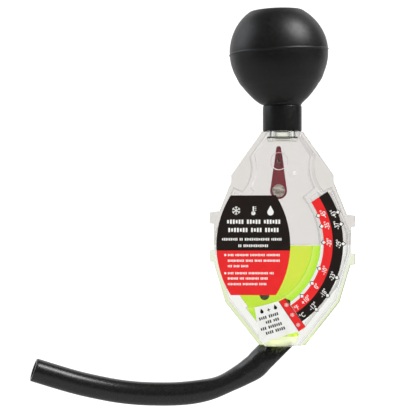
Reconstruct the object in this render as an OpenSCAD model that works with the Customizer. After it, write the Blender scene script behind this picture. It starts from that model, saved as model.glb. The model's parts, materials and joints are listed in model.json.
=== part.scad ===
// Coolant tester: a rubber squeeze bulb on a clear two-half case that holds a float pointer and a plumb,
// with a dip hose on a slanted outlet. Millimetres, Z up, the front faces -Y.

/* [Bulb] */
// Outer diameter of the rubber bulb
bulb_d = 49.6; // [44:0.1:56]
// Height of the crown's edge above the bulb's middle
crown_h = 20.7; // [17:0.1:22]
// Rise of the crown from its edge to its centre
crown_rise = 1.4; // [0:0.1:3]
// Slope of the lower cone, in degrees below the middle
bulb_taper = 42; // [36:1:48]
// Thickness of the rubber
bulb_wall = 2.2; // [1.4:0.1:3]
// Lean of the bulb to the left, in degrees
bulb_lean = 3; // [0:0.5:5]
// Radius of the moulding seam's bead
seam_r = 0.5; // [0.3:0.05:0.8]
// Outer diameter of the cuff
cuff_d = 19.5; // [17:0.1:22]
// Length of the cuff
cuff_len = 13.3; // [10:0.1:18]

/* [Neck] */
// Outer diameter of the spigot that the cuff grips
spigot_d = 13.4; // [12:0.1:14.4]
// Wall of the spigot
spigot_wall = 1.4; // [0.8:0.1:2]
// Width of the spigot's collar beyond its tube
collar_w = 1; // [0.6:0.1:1.4]
// Thickness of the spigot's collar
collar_t = 1.5; // [1:0.1:2.5]
// Thickness of the neck seal
seal_t = 0.6; // [0.4:0.1:1.2]

/* [Case] */
// Height of the case
body_h = 106.8; // [99:0.2:120]
// Depth of one case half
half_depth = 10; // [9.4:0.1:14]
// Thickness of the panels and walls
wall = 1.6; // [1.2:0.1:2]
// Thickness of the top and bottom walls
end_wall = 2.8; // [2:0.1:3.4]
// Thickness of the ribs that bound the chamber
rib_t = 2.4; // [1.6:0.1:3]
// Thickness of the funnel's walls above the foot
funnel_wall = 4.2; // [2:0.1:5]
// Width of the rail along the slanted edges
rail_w = 2; // [1.4:0.1:2.6]
// Width of the rail along the straight sides
side_rail_w = 0.6; // [0.4:0.1:1]
// Thickness of the rail on one half
rail_t = 2; // [1.2:0.1:3.5]
// Width of the front edge's step
edge_step = 0.5; // [0.3:0.1:0.8]
// Width at the neck
neck_w = 20.4; // [19.6:0.1:23]
// Width at the shoulders
shoulder_w = 51.2; // [47:0.2:54]
// Drop from the top to the shoulders
shoulder_drop = 21.8; // [19.8:0.1:25]
// Height of the upright step under a shoulder
shoulder_step = 3.4; // [2.4:0.1:4.4]
// Width across the straight sides
side_w = 68.6; // [64:0.2:74]
// Drop from the top to the straight sides
side_drop = 46.8; // [42.8:0.1:49.8]
// Length of the straight sides
side_len = 19; // [14:0.5:22]
// Width at the heels
heel_w = 57; // [52:0.2:62]
// Drop from the top to the heels
heel_drop = 85.3; // [80.8:0.1:88.8]
// Width of the foot
foot_w = 23; // [21:0.2:27]
// Height of a side lug
lug_h = 7.4; // [5:0.2:8.4]
// Reach of a side lug past the straight side
lug_out = 2.1; // [1:0.1:3.5]
// Drop from the top to the upper lugs' middle
upper_lug_drop = 44.8; // [42.8:0.1:46.8]
// Drop from the top to the lower lugs' middle
lower_lug_drop = 63.8; // [61.8:0.1:65.8]
// Rise of the left lugs against the right ones
lug_rise = 1.6; // [0:0.1:2.4]
// Radius of the hollows beside the neck
hollow_r = 18; // [16:0.2:19]
// Distance of the hollows' centres from the middle
hollow_x = 33.6; // [33:0.2:36]
// Drop from the top to the hollows' centres
hollow_drop = 17.8; // [15.8:0.1:19.8]
// Diameter of the moulding gate mark
gate_d = 2; // [1:0.1:3]
// Distance of the gate mark right of the middle
gate_x = 5.5; // [4:0.1:7]
// Drop from the top to the gate mark
gate_drop = 21; // [19:0.2:24]

/* [Pointer] */
// Distance of the dial's centre left of the middle
dial_x = 17; // [15.6:0.1:17.6]
// Drop from the top to the dial's centre
dial_drop = 55.8; // [53.8:0.1:57.8]
// Length of the pointer from its pin to its tip
pointer_len = 29.5; // [27:0.5:30]
// Radius of the pointer's hub
hub_r = 5.5; // [4.5:0.1:6]
// Radius of the pointer's rounded tip
tip_r = 2.4; // [1.6:0.1:3]
// Reach of the pointer's tail from its pin
tail_len = 9; // [8:0.1:9.6]
// Thickness of the pointer and of the plumb
arm_t = 3; // [2:0.1:3.4]
// Direction of the resting pointer, in degrees right of straight down
rest_deg = 17; // [10:1:22]
// Swing of the pointer between its stops, in degrees
swing_deg = 118; // [100:1:122]
// Diameter of the two pins
pin_d = 1.8; // [1.2:0.1:2.2]
// Radius of the pointer's bosses
boss_r = 3.2; // [2.4:0.1:4]
// Diameter of the ballast in the pointer
ballast_d = 4.4; // [3:0.1:5]
// Distance from the pointer's pin to its ballast
ballast_reach = 9.5; // [9:0.5:12]

/* [Plumb] */
// Distance of the plumb's pin left of the middle
plumb_x = 1.8; // [0:0.1:3]
// Drop from the top to the plumb's pin
plumb_drop = 14.8; // [13.8:0.1:16.2]
// Distance from the plumb's pin to its bob's centre
bob_reach = 14.8; // [13:0.2:16]
// Radius of the bob
bob_r = 4.2; // [3.4:0.1:4.6]
// Distance from the plumb's pin up to its small end
nose_reach = 6.4; // [5:0.2:6.6]
// Radius of the plumb's small end
nose_r = 1.2; // [0.8:0.1:1.6]
// Diameter of the slug in the bob
slug_d = 6.4; // [4:0.1:6.6]
// Radius of the ring bosses
ring_r = 4.2; // [3.4:0.1:4.6]

/* [Chamber] */
// Radius of the chamber's left wall
bay_r = 40.4; // [39:0.2:42]
// Distance of that radius's centre right of the middle
bay_x = 12.6; // [11.6:0.2:13.6]
// Drop from the top to that centre
bay_drop = 60.2; // [57.8:0.2:61.8]
// Gap between the pointer's tip and the chamber wall
dial_gap = 6.2; // [5:0.1:6.6]
// Upper end of the dry pocket behind the scale, in degrees above level
pocket_top = 40; // [37:1:44]
// Lower end of the dry pocket, in degrees below level
pocket_low = 61; // [58:1:64]
// Level of the coolant below the dial's centre
level_drop = 1; // [-1:0.1:8]

/* [Outlet] */
// Distance of the nipple left of the middle, at the foot
nipple_x = 3; // [2:0.1:4]
// Lean of the nipple to the left, in degrees
nipple_lean = 45; // [40:1:50]
// Outer diameter of the nipple
nipple_d = 9; // [8.4:0.1:9.8]
// Bore of the nipple
nipple_bore = 6.4; // [5:0.1:7]
// Length of the nipple outside the foot
nipple_out = 15; // [11:0.5:17]
// Width of the nipple's collar beyond its tube
nipple_collar_w = 1.3; // [0.8:0.1:1.6]
// Thickness of the nipple's collar
nipple_collar_t = 2; // [1.2:0.1:2.6]
// Outer diameter of the hose
hose_d = 11.7; // [10.8:0.1:12.6]
// Bore of the hose
hose_bore = 8.2; // [7.4:0.1:8.4]

/* [Labels] */
// Thickness of a label
label_t = 0.3; // [0.2:0.05:0.5]
// Distance of the main label's middle left of the case's middle
label_x = 14.8; // [14:0.1:15]
// Drop from the top to the main label's middle
label_drop = 56.7; // [56:0.1:58.2]
// Height of the main label
label_h = 49.4; // [44:0.2:52]
// Greatest width of the main label
label_w = 36.6; // [33:0.2:36.6]
// Radius of the main label's sides
label_side_r = 46.4; // [40:0.2:56]
// Height of the main label's red part
label_red_h = 22.1; // [18:0.1:28]
// Inner radius of the red scale band
scale_in = 37; // [36:0.1:38]
// Width of the red band
red_band_w = 4.5; // [3.6:0.1:5]
// Width of the black band
black_band_w = 5.2; // [4:0.1:5.4]
// Upper end of the scale, in degrees above level
scale_top = 33.5; // [28:0.5:34]
// Lower end of the scale, in degrees below level
scale_low = 55.8; // [50:0.2:56]
// Length of a scale mark
mark_l = 2; // [1.4:0.1:2.6]
// Width of a scale mark
mark_w = 1.8; // [1.2:0.1:2.4]
// Width of the red strip on the mix label
strip_w = 3; // [2:0.1:4]

/* [Hidden] */
$fn = 96;

// Clearances: a tight fit, a running fit, and free space beside a moving part
press = 0.02;
running = 0.05;
free = 0.3;
// What the coolant leaves free beyond the pointer's tip
swing_room = 2.4;
// How far the spigot stays below the cuff's top, the pins' seats in the panels, the wall around the nipple
spigot_short = 2.5;
pin_seat = 0.4;
nipple_wall = 1.6;
far = 200;

// Bulb levels, from the bulb's middle at zero
bulb_r = bulb_d / 2;
cuff_r = cuff_d / 2;
waist_r = cuff_r - 0.2;
cuff_top = -bulb_r * sin(bulb_taper) - (bulb_r * cos(bulb_taper) - waist_r) / tan(bulb_taper);
top_z = cuff_top - cuff_len;
foot_z = top_z - body_h;
spigot_r = spigot_d / 2;
spigot_top = cuff_top - spigot_short;
collar_r = spigot_r + collar_w;
seal_top = top_z - end_wall;
collar_top = seal_top - seal_t;

// Case
inner_y = half_depth - wall;
dial = [-dial_x, top_z - dial_drop];
plumb = [-plumb_x, top_z - plumb_drop];
chamber_r = pointer_len + dial_gap;
pin_r = pin_d / 2;
level_z = dial[1] - level_drop;

// The pointer swings in the front layer and the plumb in the rear layer
pointer_y = -arm_t / 2 - 2;
plumb_y = arm_t / 2 + 0.5;
face_y = -half_depth;

// Right half of the case's outline, from the neck to the foot, then its mirror image
right_side = [
  [neck_w / 2, top_z],
  [shoulder_w / 2, top_z - shoulder_drop],
  [shoulder_w / 2, top_z - shoulder_drop - shoulder_step],
  [side_w / 2, top_z - side_drop],
  [side_w / 2, top_z - side_drop - side_len],
  [heel_w / 2, top_z - heel_drop],
  [foot_w / 2, foot_z]
];
side_points = len(right_side);
outline = concat(right_side, [for (i = [side_points - 1:-1:0]) [-right_side[i][0], right_side[i][1]]]);

// Inward normal of the outline's edge from a to b, and the corner where two shifted edges meet
function inward(a, b) = [b[1] - a[1], a[0] - b[0]] / norm(b - a);
function corner(n, d, m, e) = [d * m[1] - e * n[1], n[0] * e - m[0] * d] / (n[0] * m[1] - n[1] * m[0]);
function edge_shift(i, in, ends, low) = (i == side_points - 1 || i == 2 * side_points - 1) ? ends
  : i == side_points - 2 || i == side_points ? low + rail_w
  : in + (i == 3 || i == 2 * side_points - 5 ? side_rail_w : rail_w);
function shrunk(in, ends, low) = let (n = 2 * side_points) [
  for (i = [0:n - 1])
    let (
      before = (i + n - 1) % n,
      after = (i + 1) % n
    )
    outline[i] + corner(
      inward(outline[before], outline[i]), edge_shift(before, in, ends, low),
      inward(outline[i], outline[after]), edge_shift(i, in, ends, low)
    )
];

// Outlet: the foot point of the nipple's axis and the direction in which the hose leaves
outlet = [-nipple_x, 0, foot_z];
away = [-sin(nipple_lean), 0, -cos(nipple_lean)];
nipple_r = nipple_d / 2;
nipple_collar_r = nipple_r + nipple_collar_w;
nipple_boss_r = nipple_collar_r + nipple_wall;
// The collar and its seal lie wholly above the foot, and the nipple ends a little further in
nipple_seat = nipple_collar_r * tan(nipple_lean) + 0.8 + seal_t;
nipple_in = nipple_seat + nipple_collar_t + 1.4;

// Hose route, from the nipple's end to the free end, as steps from the foot point
hose_steps = [[-20, 0, -16.6], [-30, 0, -21.3], [-40, 0, -23.6], [-50, 0, -24.6], [-60, 0, -24.7],
  [-70, 0, -24.3], [-80, -0.5, -23.1], [-90, -1.5, -21.1], [-100, -3, -18.6], [-110.5, -5, -15.3],
  [-121, -7, -11.8]];
hose_start = [outlet + away * nipple_out / 2, outlet + away * nipple_out * 0.75, outlet + away * (nipple_out + 1)];
route = concat(hose_start, [for (s = hose_steps) outlet + s], [outlet + 2 * hose_steps[10] - hose_steps[9]]);
hose_end = route[len(route) - 2];
end_way = (hose_end - route[len(route) - 3]) / norm(hose_end - route[len(route) - 3]);
hose_sides = 12;
hose_cuts = 2;
swell = nipple_r + press - hose_bore / 2;

function curve(a, b, c, d, t) = (2 * b + (c - a) * t + (2 * a - 5 * b + 4 * c - d) * t * t
  + (3 * b - a - 3 * c + d) * t * t * t) / 2;
hose_path = concat(
  [outlet],
  [for (i = [1:len(route) - 3]) for (k = [0:hose_cuts - 1])
    curve(route[i - 1], route[i], route[i + 1], route[i + 2], k / hose_cuts)],
  [hose_end]
);
hose_rings = len(hose_path);
function hose_way(i) = let (
    step = hose_path[min(i + 1, hose_rings - 1)] - hose_path[max(i - 1, 0)]
  ) step / norm(step);
function swelling(p) = swell * max(0, min(1, (nipple_out + 8 - norm(p - outlet)) / 6));
function hose_ring(i, r) = let (
    ahead = hose_way(i),
    side = cross(ahead, [0, 1, 0]) / norm(cross(ahead, [0, 1, 0])),
    up = cross(side, ahead),
    size = r + swelling(hose_path[i])
  ) [for (k = [0:hose_sides - 1])
    let (
      a = 360 * (k + 0.5) / hose_sides,
      p = hose_path[i] + size * (cos(a) * side + sin(a) * up)
    )
    i == 0 ? p + away * (foot_z - p[2]) / away[2] : p
  ];

// Degrees of the scale marks: red band along its inner edge, black band along its outer edge
red_mark_deg = [21.8, 13.2, 0.8, -19.6, -32.2, -44.8];
black_mark_deg = [19.4, 11.9, -0.2, -21.3, -33.5, -44.4];

// Corners of the mix label and of its red strip, as steps from the main label's middle
label_at = [-label_x, top_z - label_drop];
mix_corners = [[0.6, -30.9], [3.2, -47.1], [4.8, -48.1], [22.8, -42.5], [12.8, -27.7]];
strip_corners = [[12.8, -27.7], [22.8, -42.5], [22.8 + strip_w, -40.5],
  [12.8 + strip_w * 0.84, -27.7 + strip_w * 0.42]];

// A flat shape drawn in X and Z, standing between two depths
module slab(front, back) {
  translate([0, back, 0])
    rotate([90, 0, 0])
      linear_extrude(back - front)
        children();
}

// Between two depths of the front half, or of the rear half
module half_slab(rear, near, deep) {
  if (rear)
    slab(near, deep) children();
  else
    slab(-deep, -near) children();
}

module along(point, way) {
  translate(point)
    rotate([0, acos(way[2]), atan2(way[1], way[0])])
      children();
}

// The straight sides of a rounded taper, from a circle at zero to a circle at a distance straight down
module taper_sides(r1, r2, reach) {
  lean = asin((r1 - r2) / reach);
  n = [cos(lean), -sin(lean)];
  a = r1 - 0.03;
  b = r2 - 0.03;
  polygon([
    [-a * n[0], a * n[1]],
    [-b * n[0], b * n[1] - reach],
    [b * n[0], b * n[1] - reach],
    a * n
  ]);
}

function bulb_outline(r, crown, rise, waist, low) = let (
    from = asin(crown / r),
    turn = (from + bulb_taper) / 20
  ) concat(
    [[0, crown + rise]],
    [for (i = [0:20]) r * [cos(from - i * turn), sin(from - i * turn)]],
    [[waist, -r * sin(bulb_taper) - (r * cos(bulb_taper) - waist) / tan(bulb_taper)]],
    [[waist, low], [0, low]]
  );

module lean_over() {
  translate([0, 0, cuff_top])
    rotate([0, -bulb_lean, 0])
      translate([0, 0, -cuff_top])
        children();
}

module squeeze_bulb() {
  color([0.1, 0.1, 0.1])
    difference() {
      union() {
        lean_over() {
          rotate_extrude()
            polygon(bulb_outline(bulb_r, crown_h, crown_rise, waist_r, cuff_top - 2));
          rotate_extrude()
            translate([bulb_r - seam_r * 0.4, 0])
              circle(seam_r);
        }
        translate([0, 0, top_z])
          cylinder(h = cuff_len, r = cuff_r);
      }
      lean_over()
        rotate_extrude()
          polygon(bulb_outline(bulb_r - bulb_wall, crown_h - bulb_wall, crown_rise,
            spigot_r - 0.6, cuff_top - 3));
      translate([0, 0, top_z - 1])
        cylinder(h = spigot_top + 0.5 - top_z + 1, r = spigot_r + running);
    }
}

module neck_spigot() {
  color([0.88, 0.9, 0.88, 0.5])
    difference() {
      union() {
        translate([0, 0, collar_top - collar_t])
          cylinder(h = spigot_top - collar_top + collar_t, r = spigot_r);
        translate([0, 0, collar_top - collar_t])
          cylinder(h = collar_t, r = collar_r);
      }
      translate([0, 0, collar_top - collar_t - 1])
        cylinder(h = spigot_top - collar_top + collar_t + 2, r = spigot_r - spigot_wall);
    }
}

module neck_seal() {
  color([0.12, 0.12, 0.12])
    translate([0, 0, collar_top])
      difference() {
        cylinder(h = seal_t, r = collar_r);
        translate([0, 0, -1])
          cylinder(h = seal_t + 2, r = spigot_r + press);
      }
}

// The two hollows beside the neck, grown by the wall for the inside
module hollows(grow) {
  floor_at = 222;
  foot = [hollow_x + hollow_r * cos(floor_at), top_z - hollow_drop + hollow_r * sin(floor_at) - grow];
  slope = tan(25);
  span = 2 * hollow_r;
  for (s = [0, 1])
    mirror([s, 0])
      intersection() {
        translate([hollow_x, top_z - hollow_drop])
          circle(hollow_r + grow);
        polygon([
          [foot[0] - span, foot[1] - span * slope],
          [foot[0] + span, foot[1] + span * slope],
          [foot[0] + span, top_z + span],
          [foot[0] - span, top_z + span]
        ]);
      }
}

module case_shape() {
  lug_root = rail_w + 3;
  polygon(outline);
  for (s = [-1, 1])
    for (drop = [upper_lug_drop, lower_lug_drop])
      translate([s * side_w / 2, top_z - drop + (s < 0 ? lug_rise : 0)])
        polygon([
          [-s * lug_root, lug_h / 2],
          [s * lug_out, lug_h / 2 - 1],
          [s * lug_out, 1 - lug_h / 2],
          [-s * lug_root, -lug_h / 2]
        ]);
}

module raised_shape(in) {
  difference() {
    polygon(shrunk(in, 0, in));
    hollows(in);
  }
}

module inside_shape(gap) {
  difference() {
    polygon(shrunk(wall + gap, end_wall + gap, funnel_wall + gap));
    hollows(rib_t + gap);
  }
}

// A sector between two directions, beyond a radius, with its sides moved in by a shift
module sector(centre, low, high, r, shift) {
  mid = (low + high) / 2;
  tip = centre + shift / sin((high - low) / 2) * [cos(mid), sin(mid)];
  difference() {
    polygon([
      tip,
      tip + far * [cos(low), sin(low)],
      tip + far * [cos(mid), sin(mid)],
      tip + far * [cos(high), sin(high)]
    ]);
    translate(centre)
      circle(r);
  }
}

// The dry pockets behind the scale and along the left side, grown inwards by the ribs
module pockets(rib) {
  sector(dial, -pocket_low, pocket_top, chamber_r + rib, rib);
  sector([bay_x, top_z - bay_drop], 132, 222, bay_r + rib, rib);
}

module raised_solid(rear) {
  half_slab(rear, 0, half_depth - edge_step)
    raised_shape(0);
  half_slab(rear, 0, half_depth)
    raised_shape(edge_step);
}

// Where the stops stand: on either side of the pointer's swing
stop_r = 1.2;
stop_at = 15;
stop_turn = asin((hub_r + (tip_r - hub_r) * stop_at / (pointer_len - tip_r) + free + stop_r) / stop_at);

module stop_posts(grow) {
  for (a = [rest_deg - 90 - stop_turn, rest_deg - 90 + swing_deg + stop_turn])
    translate(dial + stop_at * [cos(a), sin(a)])
      circle(stop_r + grow);
}

module bosses(rear) {
  pointer_gap = rear ? pointer_y + arm_t / 2 + free : -pointer_y + arm_t / 2 + free;
  plumb_gap = rear ? plumb_y + arm_t / 2 + free : -plumb_y + arm_t / 2 + free;
  half_slab(rear, pointer_gap, inner_y + 0.5)
    translate(dial)
      circle(boss_r);
  half_slab(rear, plumb_gap, inner_y + 0.5)
    translate(plumb)
      circle(ring_r);
  if (!rear)
    slab(-inner_y - 0.5, pointer_y + arm_t / 2 + free)
      stop_posts(0);
  intersection() {
    raised_solid(rear);
    along(outlet - away * (nipple_in - 1), away)
      cylinder(h = nipple_in + 12, r = nipple_boss_r);
    half_slab(rear, 0, far)
      square(2 * far, center = true);
  }
}

// What both halves leave open for the spigot, its collar and seal, the nipple and the pins
module sockets() {
  translate([0, 0, seal_top - 1])
    cylinder(h = end_wall + 2, r = spigot_r + press);
  translate([0, 0, collar_top - collar_t - 0.1])
    cylinder(h = collar_t + seal_t + 0.1, r = collar_r + press);
  along(outlet - away * nipple_in, away)
    cylinder(h = nipple_in + 20, r = nipple_r + press);
  along(outlet - away * (nipple_seat + nipple_collar_t), away)
    cylinder(h = nipple_collar_t + seal_t, r = nipple_collar_r + press);
  for (p = [dial, plumb])
    pin(p, press);
}

module pin(point, gap) {
  slab(-inner_y + pin_seat, inner_y - pin_seat)
    translate(point)
      circle(pin_r + gap);
}

module shell(rear) {
  difference() {
    union() {
      difference() {
        union() {
          half_slab(rear, 0, rail_t)
            case_shape();
          raised_solid(rear);
        }
        half_slab(rear, -1, inner_y)
          difference() {
            inside_shape(0);
            pockets(0);
          }
        half_slab(rear, -1, inner_y)
          intersection() {
            inside_shape(0);
            pockets(rib_t);
          }
      }
      bosses(rear);
    }
    sockets();
  }
}

module front_shell() {
  color([0.87, 0.89, 0.88, 0.4]) {
    shell(false);
    slab(face_y - 0.3, face_y)
      translate([gate_x, top_z - gate_drop])
        circle(d = gate_d);
  }
}

module rear_shell() {
  color([0.87, 0.89, 0.88, 0.4])
    shell(true);
}

module hose_nipple() {
  color([0.86, 0.88, 0.86, 0.6])
    difference() {
      union() {
        along(outlet - away * nipple_in, away)
          cylinder(h = nipple_in + nipple_out, r = nipple_r);
        along(outlet - away * (nipple_seat + nipple_collar_t), away)
          cylinder(h = nipple_collar_t, r = nipple_collar_r);
      }
      along(outlet - away * (nipple_in + 1), away)
        cylinder(h = nipple_in + nipple_out + 2, r = nipple_bore / 2);
    }
}

module nipple_seal() {
  color([0.75, 0.75, 0.7])
    along(outlet - away * nipple_seat, away)
      difference() {
        cylinder(h = seal_t, r = nipple_collar_r);
        translate([0, 0, -1])
          cylinder(h = seal_t + 2, r = nipple_r + press);
      }
}

module hose_tube() {
  n = hose_sides;
  last = hose_rings - 1;
  inner = n * hose_rings;
  points = concat(
    [for (i = [0:last]) each hose_ring(i, hose_d / 2)],
    [for (i = [0:last]) each hose_ring(i, hose_bore / 2 - 0.12)]
  );
  function next(k) = (k + 1) % n;
  faces = concat(
    [for (i = [0:last - 1]) for (k = [0:n - 1]) [i * n + k, i * n + next(k), (i + 1) * n + next(k)]],
    [for (i = [0:last - 1]) for (k = [0:n - 1]) [i * n + k, (i + 1) * n + next(k), (i + 1) * n + k]],
    [for (i = [0:last - 1]) for (k = [0:n - 1])
      [inner + i * n + next(k), inner + i * n + k, inner + (i + 1) * n + next(k)]],
    [for (i = [0:last - 1]) for (k = [0:n - 1])
      [inner + (i + 1) * n + next(k), inner + i * n + k, inner + (i + 1) * n + k]],
    [for (k = [0:n - 1]) [next(k), k, inner + k]],
    [for (k = [0:n - 1]) [next(k), inner + k, inner + next(k)]],
    [for (k = [0:n - 1]) [last * n + k, last * n + next(k), inner + last * n + k]],
    [for (k = [0:n - 1]) [last * n + next(k), inner + last * n + next(k), inner + last * n + k]]
  );
  polyhedron(points = points, faces = faces);
}

module hose() {
  color([0.09, 0.09, 0.09])
    difference() {
      hose_tube();
      along(outlet - away * 12, away)
        cylinder(h = nipple_out + 12.2, r = nipple_r + press);
      along(hose_end - end_way * 10, end_way)
        cylinder(h = 11, r = hose_bore / 2);
    }
}

module in_dial() {
  translate(dial)
    rotate(rest_deg)
      children();
}

module pointer_arm() {
  tail_r = 3.4;
  color([0.42, 0.1, 0.18])
    slab(pointer_y - arm_t / 2, pointer_y + arm_t / 2)
      in_dial()
        difference() {
          union() {
            circle(hub_r);
            taper_sides(hub_r, tip_r, pointer_len - tip_r);
            translate([0, tip_r - pointer_len])
              circle(tip_r);
            rotate(180)
              taper_sides(hub_r, tail_r, tail_len - tail_r);
            translate([0, tail_len - tail_r])
              circle(tail_r);
          }
          circle(pin_r + running);
          translate([0, -ballast_reach])
            circle(d = ballast_d);
        }
}

module pointer_ballast() {
  color([0.6, 0.58, 0.55])
    slab(pointer_y - arm_t / 2, pointer_y + arm_t / 2)
      in_dial()
        translate([0, -ballast_reach])
          circle(d = ballast_d - 2 * press);
}

module pointer_pin() {
  color([0.7, 0.7, 0.7])
    pin(dial, 0);
}

module plumb_bob() {
  color([0.42, 0.1, 0.18])
    slab(plumb_y - arm_t / 2, plumb_y + arm_t / 2)
      translate(plumb)
        difference() {
          union() {
            translate([0, -bob_reach])
              circle(bob_r);
            translate([0, -bob_reach])
              rotate(180)
                taper_sides(bob_r, nose_r, bob_reach + nose_reach);
            translate([0, nose_reach])
              circle(nose_r);
          }
          circle(pin_r + running);
          translate([0, -bob_reach])
            circle(d = slug_d);
        }
}

module plumb_slug() {
  color([0.62, 0.6, 0.56])
    slab(plumb_y - arm_t / 2, plumb_y + arm_t / 2)
      translate(plumb + [0, -bob_reach])
        circle(d = slug_d - 2 * press);
}

module plumb_pin() {
  color([0.7, 0.7, 0.7])
    pin(plumb, 0);
}

module main_label(low, high) {
  slab(face_y - label_t, face_y)
    translate(label_at)
      intersection() {
        translate([label_side_r - label_w / 2, 0])
          circle(label_side_r);
        translate([label_w / 2 - label_side_r, 0])
          circle(label_side_r);
        translate([-label_w, low])
          square([2 * label_w, high - low]);
      }
}

module label_black() {
  color([0.13, 0.11, 0.1])
    main_label(label_red_h - label_h / 2, label_h / 2);
}

module label_red() {
  color([0.9, 0.17, 0.17])
    main_label(-label_h / 2, label_red_h - label_h / 2);
}

module band(inner, outer) {
  slab(face_y - label_t, face_y)
    translate(dial)
      intersection() {
        difference() {
          circle(outer);
          circle(inner);
        }
        polygon([
          [0, 0],
          far * [cos(-scale_low), sin(-scale_low)],
          far * [1, 0],
          far * [cos(scale_top), sin(scale_top)]
        ]);
      }
}

module fahrenheit_band() {
  color([0.9, 0.17, 0.17])
    band(scale_in, scale_in + red_band_w);
}

module celsius_band() {
  color([0.13, 0.11, 0.1])
    band(scale_in + red_band_w + press, scale_in + red_band_w + black_band_w);
}

module marks(angles, r) {
  for (a = angles)
    translate(dial + r * [cos(a), sin(a)])
      rotate(a)
        polygon([[-mark_l / 2, 0], [0, -mark_w / 2], [mark_l / 2, 0], [0, mark_w / 2]]);
}

module scale_marks() {
  color([0.95, 0.95, 0.95])
    slab(face_y - 1.5 * label_t, face_y - label_t) {
      marks(red_mark_deg, scale_in);
      marks(black_mark_deg, scale_in + red_band_w + black_band_w);
    }
}

module mix_label() {
  color([0.95, 0.95, 0.95])
    slab(face_y - label_t, face_y)
      translate(label_at)
        polygon(mix_corners);
}

module mix_strip() {
  color([0.9, 0.17, 0.17])
    slab(face_y - label_t, face_y)
      translate(label_at)
        polygon(strip_corners);
}

module coolant_sample() {
  gap = 0.2;
  color([0.78, 0.9, 0.2, 0.6])
    difference() {
      slab(-inner_y + gap, inner_y - gap)
        difference() {
          intersection() {
            inside_shape(gap);
            translate([-far, foot_z])
              square([2 * far, level_z - foot_z]);
          }
          pockets(-gap);
        }
      slab(pointer_y - arm_t / 2 - free, pointer_y + arm_t / 2 + free)
        translate(dial)
          circle(pointer_len + swing_room);
      slab(-far, far)
        translate(dial)
          circle(boss_r + gap);
      slab(-far, pointer_y)
        stop_posts(gap);
      along(outlet - away * (nipple_in + gap), away)
        cylinder(h = far, r = nipple_boss_r + gap);
    }
}

squeeze_bulb();
neck_spigot();
neck_seal();
front_shell();
rear_shell();
hose_nipple();
nipple_seal();
hose();
pointer_arm();
pointer_ballast();
pointer_pin();
plumb_bob();
plumb_slug();
plumb_pin();
label_black();
label_red();
fahrenheit_band();
celsius_band();
scale_marks();
mix_label();
mix_strip();
coolant_sample();
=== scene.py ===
"""Looks of a hand-held coolant tester: rubber bulb, clear case, coolant, float pointer, plumb and dip hose.

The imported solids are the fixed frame. Sizes are in metres, +Z is up and the front faces -Y.
"""

import json
import logging
import math
from dataclasses import dataclass
from enum import Enum
from functools import lru_cache
from typing import Sequence

import bmesh
import bpy
from mathutils import Matrix, Vector


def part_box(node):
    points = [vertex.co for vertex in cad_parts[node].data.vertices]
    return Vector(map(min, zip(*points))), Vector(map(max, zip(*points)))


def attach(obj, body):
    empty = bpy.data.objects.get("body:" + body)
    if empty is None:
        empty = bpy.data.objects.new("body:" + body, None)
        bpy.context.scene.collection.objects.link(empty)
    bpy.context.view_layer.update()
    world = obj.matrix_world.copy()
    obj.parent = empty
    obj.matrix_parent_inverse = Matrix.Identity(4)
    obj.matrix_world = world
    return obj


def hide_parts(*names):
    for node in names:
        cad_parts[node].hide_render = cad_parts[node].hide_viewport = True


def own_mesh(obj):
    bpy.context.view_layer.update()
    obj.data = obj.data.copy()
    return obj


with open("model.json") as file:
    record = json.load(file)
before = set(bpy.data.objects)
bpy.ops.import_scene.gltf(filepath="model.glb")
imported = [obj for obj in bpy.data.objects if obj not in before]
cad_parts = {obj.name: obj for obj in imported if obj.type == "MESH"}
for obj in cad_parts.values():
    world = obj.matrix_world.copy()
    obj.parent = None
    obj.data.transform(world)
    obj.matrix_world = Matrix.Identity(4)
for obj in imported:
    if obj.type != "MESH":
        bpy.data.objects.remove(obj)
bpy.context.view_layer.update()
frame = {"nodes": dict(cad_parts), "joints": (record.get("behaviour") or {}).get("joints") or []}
log = logging.getLogger("coolant_tester")

Colour = tuple[float, float, float]
Spot = tuple[float, float]
Span = tuple[float, float]
Place = tuple[float, float, float]
Node = bpy.types.Node
Socket = bpy.types.NodeSocket
Value = Socket | float | Colour
Piece = bpy.types.Object

# Points nearer to each other than this are one point, and edges sharper than this angle stay creased.
WELD = 0.000002
SHARP_ANGLE = math.radians(35)
# Print is this thick.
INK_DEPTH = 0.00004


def screen(red: int, green: int, blue: int) -> Colour:
    """Turn a screen colour into linear light.

    Args:
        red: Red from 0 to 255.
        green: Green from 0 to 255.
        blue: Blue from 0 to 255.

    Returns:
        The colour that a shader socket takes.
    """
    levels = [value / 255 for value in (red, green, blue)]
    return tuple(((v + 0.055) / 1.055) ** 2.4 if v > 0.04045 else v / 12.92 for v in levels)


def ease(value: float) -> float:
    """Smooth a share so that it starts and ends level, and keep it from 0 to 1."""
    share = min(1.0, max(0.0, value))
    return share * share * (3 - 2 * share)


def polar(centre: Spot, radius: float, degrees: float) -> Spot:
    """Find a point on the front face.

    Args:
        centre: X and Z of the circle's centre.
        radius: Distance from the centre.
        degrees: Direction, counted from +X towards +Z.

    Returns:
        X and Z of the point.
    """
    turn = math.radians(degrees)
    return centre[0] + radius * math.cos(turn), centre[1] + radius * math.sin(turn)


def joint_place(name: str) -> Vector:
    """Give the point that a joint of the frame turns about."""
    return Vector(next(joint["pos_m"] for joint in frame["joints"] if joint["name"] == name))


def round_turns(count: int) -> list[float]:
    """Give the angles of a ring's points in radians."""
    return [math.tau * i / count for i in range(count)]


def finished_mesh(bm: bmesh.types.BMesh, name: str) -> bpy.types.Mesh:
    """Turn edited points and faces into a mesh and let go of them.

    Args:
        bm: The points and faces.
        name: Name of the mesh.

    Returns:
        The mesh.
    """
    mesh = bpy.data.meshes.new(name)
    bm.to_mesh(mesh)
    bm.free()
    return mesh


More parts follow.
